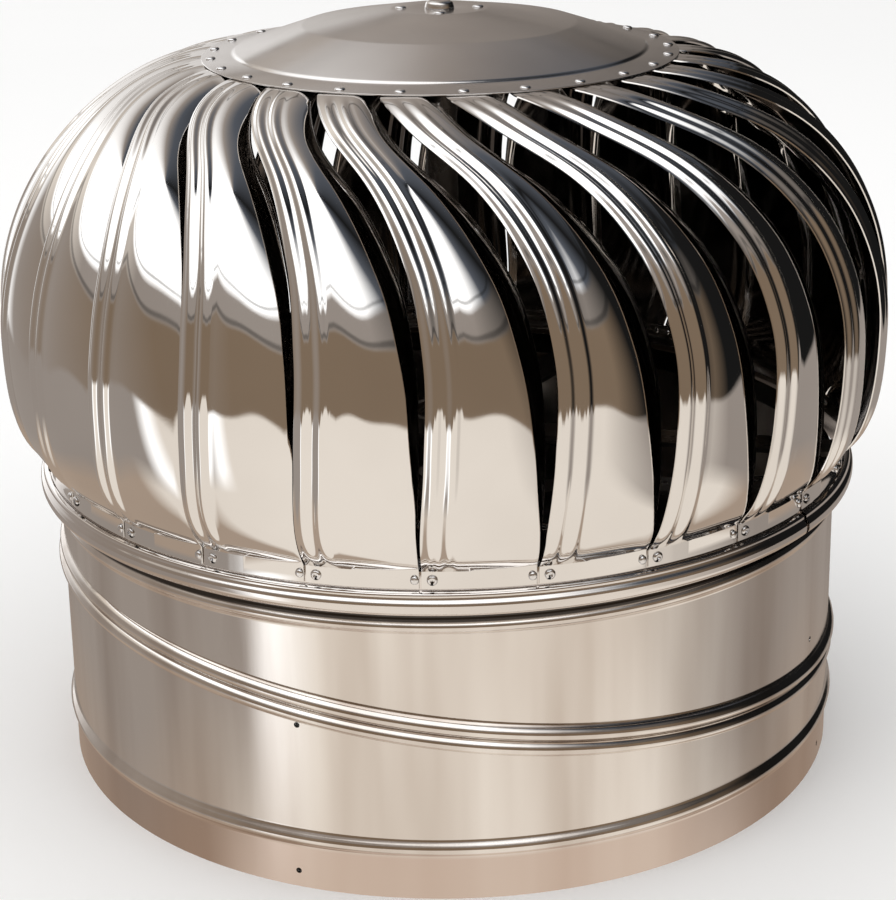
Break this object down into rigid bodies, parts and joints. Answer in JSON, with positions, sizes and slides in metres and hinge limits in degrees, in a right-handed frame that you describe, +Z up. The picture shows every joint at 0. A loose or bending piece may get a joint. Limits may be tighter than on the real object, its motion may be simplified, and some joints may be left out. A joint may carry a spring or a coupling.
{
  "type": "roof turbine ventilator",
  "caption": "Wind-driven stainless roof turbine ventilator: bulbous vaned head on a fixed shaft over a round neck with an oblique swivel seam.",
  "frame": {"origin": "centre of the neck's bottom edge, on the neck's axis", "axes": "+Z up along the neck and the head's spin axis; -Y is the side seen in front; the neck's swivel seam is lowest towards +X"},
  "size_m": [0.561, 0.56, 0.476],
  "materials": {
    "vane_steel": "mirror-polished stainless sheet",
    "plate_steel": "bright annealed stainless sheet",
    "neck_steel": "bright stainless sheet with soft rolling marks",
    "rivet_steel": "blind rivets, bright",
    "frame_steel": "plated steel bar",
    "bearing_steel": "ground bearing steel",
    "plated_fastener": "zinc-plated steel"
  },
  "bodies": {
    "lower_neck": {"lower_neck": "neck_steel"},
    "upper_neck": {"upper_neck": "neck_steel", "spider": "frame_steel", "shaft": "frame_steel", "foot_washer": "plated_fastener", "foot_nut": "plated_fastener", "top_washer": "plated_fastener", "top_nut": "plated_fastener", "lower_bearing_inner": "bearing_steel", "top_bearing_inner": "bearing_steel"},
    "rotor": {"edge_rivets": "rivet_steel", "hub_cap": "plate_steel", "hub_rivets": "rivet_steel", "lower_bearing_outer": "bearing_steel", "lower_circlip": "plated_fastener", "rotor_ring": "plate_steel", "rotor_spider": "frame_steel", "tab_rivets": "rivet_steel", "top_bearing_outer": "bearing_steel", "top_circlip": "plated_fastener", "top_housing": "frame_steel", "top_plate": "plate_steel", "top_rivets": "rivet_steel", "vane_01": "vane_steel", "vane_02": "vane_steel", "vane_03": "vane_steel", "vane_04": "vane_steel", "vane_05": "vane_steel", "vane_06": "vane_steel", "vane_07": "vane_steel", "vane_08": "vane_steel", "vane_09": "vane_steel", "vane_10": "vane_steel", "vane_11": "vane_steel", "vane_12": "vane_steel", "vane_13": "vane_steel", "vane_14": "vane_steel", "vane_15": "vane_steel", "vane_16": "vane_steel", "vane_17": "vane_steel", "vane_18": "vane_steel", "vane_19": "vane_steel", "vane_20": "vane_steel", "vane_21": "vane_steel", "vane_22": "vane_steel", "vane_23": "vane_steel", "vane_24": "vane_steel", "vane_25": "vane_steel"},
    "lower_cage": {"lower_bearing_cage": "bearing_steel"},
    "top_cage": {"top_bearing_cage": "bearing_steel"}
  },
  "joints": [
    {"name": "pitch_swivel", "type": "hinge", "parent": "lower_neck", "child": "upper_neck", "pos_m": [0, 0, 0.104], "axis": [0.1357, 0, 0.9907], "range_deg": [-180, 180]},
    {"name": "rotor_spin", "type": "hinge", "parent": "upper_neck", "child": "rotor", "pos_m": [0, 0, 0.2], "axis": [0, 0, 1], "continuous": true},
    {"name": "lower_cage_spin", "type": "hinge", "parent": "upper_neck", "child": "lower_cage", "pos_m": [0, 0, 0.2], "axis": [0, 0, 1], "continuous": true},
    {"name": "top_cage_spin", "type": "hinge", "parent": "upper_neck", "child": "top_cage", "pos_m": [0, 0, 0.46], "axis": [0, 0, 1], "continuous": true}
  ],
  "couplings": [
    {"joint": "lower_cage_spin", "follows": "rotor_spin", "ratio": 0.5642},
    {"joint": "top_cage_spin", "follows": "rotor_spin", "ratio": 0.5677}
  ]
}
